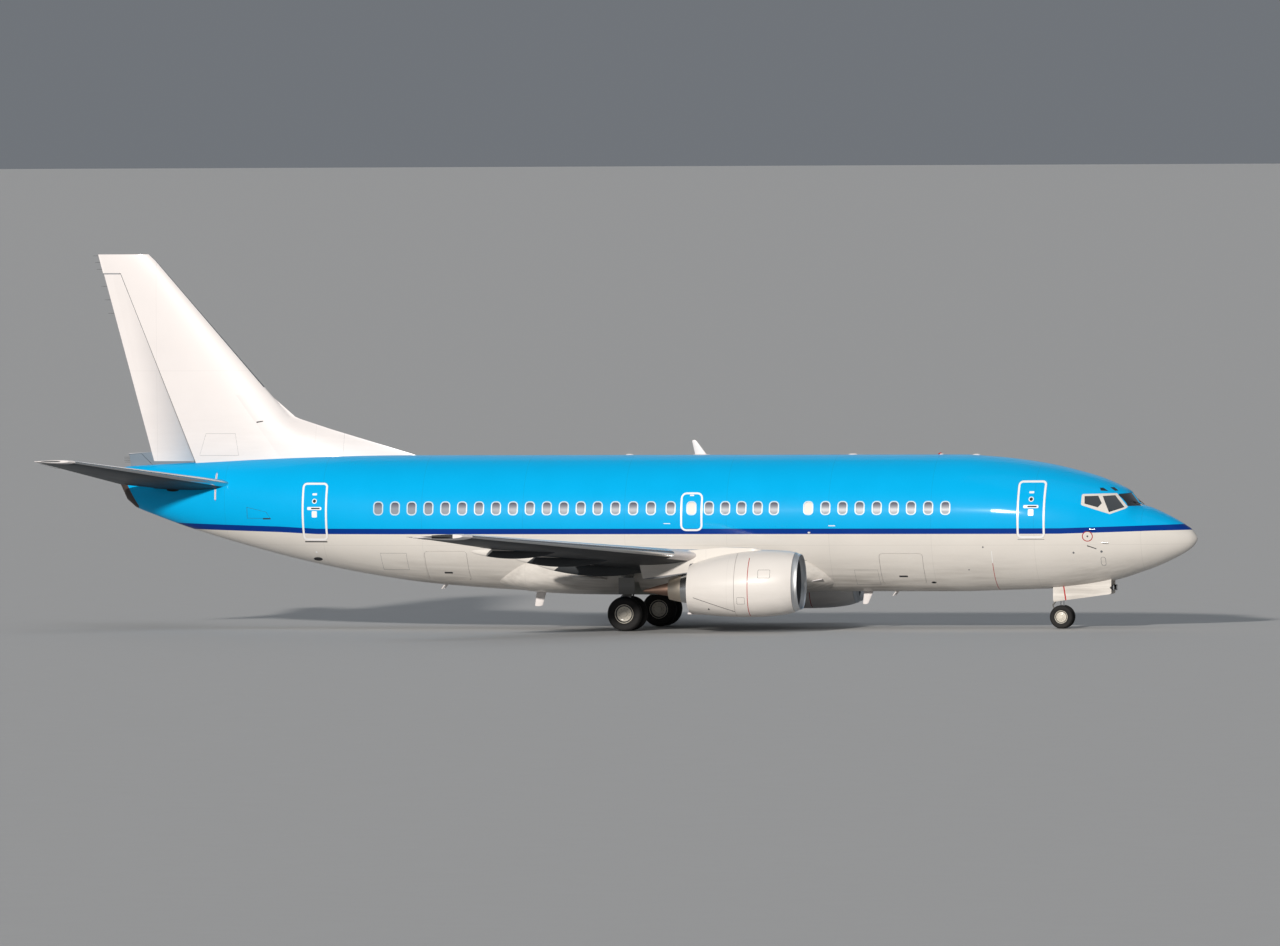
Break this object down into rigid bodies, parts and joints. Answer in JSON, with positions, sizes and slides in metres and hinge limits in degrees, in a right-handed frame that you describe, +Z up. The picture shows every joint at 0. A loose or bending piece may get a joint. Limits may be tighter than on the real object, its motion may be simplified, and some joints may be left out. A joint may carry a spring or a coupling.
{
  "type": "narrow-body twin-jet airliner",
  "caption": "Twin-engined narrow-body airliner parked on its landing gear, with turning wheels and fans, nose steering, control surfaces and inward cargo doors.",
  "frame": {"origin": "on the ground under the middle of the aircraft's length, on its plane of symmetry", "axes": "+X forward along the fuselage, +Y to the left, +Z up"},
  "size_m": [33.3999, 28.88, 11.13],
  "materials": {
    "blue_paint": "gloss sky blue",
    "white_paint": "gloss off-white",
    "wing_grey": "satin grey",
    "bare_metal": "brushed bare metal",
    "hot_steel": "heat-tinted steel",
    "dark_metal": "satin dark metal",
    "tyre_rubber": "dusty black rubber",
    "wheel_paint": "satin cream",
    "glazing": "dark polished glazing in its frame"
  },
  "bodies": {
    "airframe": {"radome": "white_paint", "nose_section": "blue_paint", "forward_fuselage": "blue_paint", "centre_fuselage": "blue_paint", "aft_fuselage": "blue_paint", "tail_section": "blue_paint", "windscreen": "glazing", "service_door_front": "blue_paint", "service_door_rear": "blue_paint", "entry_door_front": "blue_paint", "entry_door_rear": "blue_paint", "wing_body_fairing": "white_paint", "fin": "white_paint", "nose_gear_leg": "white_paint", "wing_right": "wing_grey", "slat_right": "bare_metal", "flap_inboard_right": "wing_grey", "flap_outboard_right": "wing_grey", "pylon_right": "white_paint", "inlet_lip_right": "bare_metal", "fan_cowl_right": "white_paint", "reverser_cowl_right": "white_paint", "engine_core_right": "hot_steel", "stabiliser_right": "wing_grey", "nose_gear_door_right": "white_paint", "main_gear_leg_right": "white_paint", "wing_left": "wing_grey", "slat_left": "bare_metal", "flap_inboard_left": "wing_grey", "flap_outboard_left": "wing_grey", "pylon_left": "white_paint", "inlet_lip_left": "bare_metal", "fan_cowl_left": "white_paint", "reverser_cowl_left": "white_paint", "engine_core_left": "hot_steel", "stabiliser_left": "wing_grey", "nose_gear_door_left": "white_paint", "main_gear_leg_left": "white_paint"},
    "nose_steering": {"nose_gear_axle": "bare_metal"},
    "nose_wheels": {"nose_wheel_right": "tyre_rubber", "nose_wheel_left": "tyre_rubber"},
    "rudder": {"rudder": "white_paint"},
    "cargo_door_front": {"cargo_door_front": "white_paint"},
    "cargo_door_rear": {"cargo_door_rear": "white_paint"},
    "main_wheels_right": {"main_tyre_right_inner": "tyre_rubber", "main_hub_right_inner": "wheel_paint", "main_tyre_right_outer": "tyre_rubber", "main_hub_right_outer": "wheel_paint"},
    "fan_right": {"fan_right": "dark_metal"},
    "aileron_right": {"aileron_right": "wing_grey"},
    "elevator_right": {"elevator_right": "wing_grey"},
    "main_wheels_left": {"main_tyre_left_inner": "tyre_rubber", "main_hub_left_inner": "wheel_paint", "main_tyre_left_outer": "tyre_rubber", "main_hub_left_outer": "wheel_paint"},
    "fan_left": {"fan_left": "dark_metal"},
    "aileron_left": {"aileron_left": "wing_grey"},
    "elevator_left": {"elevator_left": "wing_grey"}
  },
  "joints": [
    {"name": "nose_steering", "type": "hinge", "parent": "airframe", "child": "nose_steering", "pos_m": [12.69, 0, 1], "axis": [0, 0, 1], "range_deg": [-78, 78]},
    {"name": "nose_wheels_spin", "type": "hinge", "parent": "nose_steering", "child": "nose_wheels", "pos_m": [12.69, 0, 0.343], "axis": [0, 1, 0], "continuous": true},
    {"name": "main_wheels_right_spin", "type": "hinge", "parent": "airframe", "child": "main_wheels_right", "pos_m": [0.24, -2.615, 0.508], "axis": [0, 1, 0], "continuous": true},
    {"name": "main_wheels_left_spin", "type": "hinge", "parent": "airframe", "child": "main_wheels_left", "pos_m": [0.24, 2.615, 0.508], "axis": [0, 1, 0], "continuous": true},
    {"name": "fan_right_spin", "type": "hinge", "parent": "airframe", "child": "fan_right", "pos_m": [5.16, -4.83, 1.4476], "axis": [1, 0, 0], "continuous": true},
    {"name": "fan_left_spin", "type": "hinge", "parent": "airframe", "child": "fan_left", "pos_m": [5.16, 4.83, 1.4476], "axis": [1, 0, 0], "continuous": true},
    {"name": "rudder_hinge", "type": "hinge", "parent": "airframe", "child": "rudder", "pos_m": [-14.4, 0, 7.6925], "axis": [-0.3734, 0, 0.9277], "range_deg": [-26, 26]},
    {"name": "elevator_right_hinge", "type": "hinge", "parent": "airframe", "child": "elevator_right", "pos_m": [-15.29912, -3.44, 4.63848], "axis": [-0.3426, -0.9301, 0.1321], "range_deg": [-21, 21]},
    {"name": "elevator_left_hinge", "type": "hinge", "parent": "airframe", "child": "elevator_left", "pos_m": [-15.29912, 3.44, 4.63848], "axis": [-0.3426, 0.9301, 0.1321], "range_deg": [-21, 21]},
    {"name": "aileron_right_hinge", "type": "hinge", "parent": "airframe", "child": "aileron_right", "pos_m": [-2.46636, -11.825, 2.7902], "axis": [-0.3252, -0.9417, 0.0863], "range_deg": [-20, 20]},
    {"name": "aileron_left_hinge", "type": "hinge", "parent": "airframe", "child": "aileron_left", "pos_m": [-2.46636, 11.825, 2.7902], "axis": [-0.3252, 0.9417, 0.0863], "range_deg": [-20, 20]},
    {"name": "cargo_door_front_hinge", "type": "hinge", "parent": "airframe", "child": "cargo_door_front", "pos_m": [8.18, -1.51959, 2.28], "axis": [1, 0, 0], "range_deg": [0, 58]},
    {"name": "cargo_door_rear_hinge", "type": "hinge", "parent": "airframe", "child": "cargo_door_rear", "pos_m": [-5.415, -1.44037, 2.35], "axis": [1, 0, 0], "range_deg": [0, 46]}
  ],
  "couplings": [
    {"joint": "elevator_left_hinge", "follows": "elevator_right_hinge", "ratio": -1},
    {"joint": "aileron_left_hinge", "follows": "aileron_right_hinge", "ratio": 1}
  ]
}
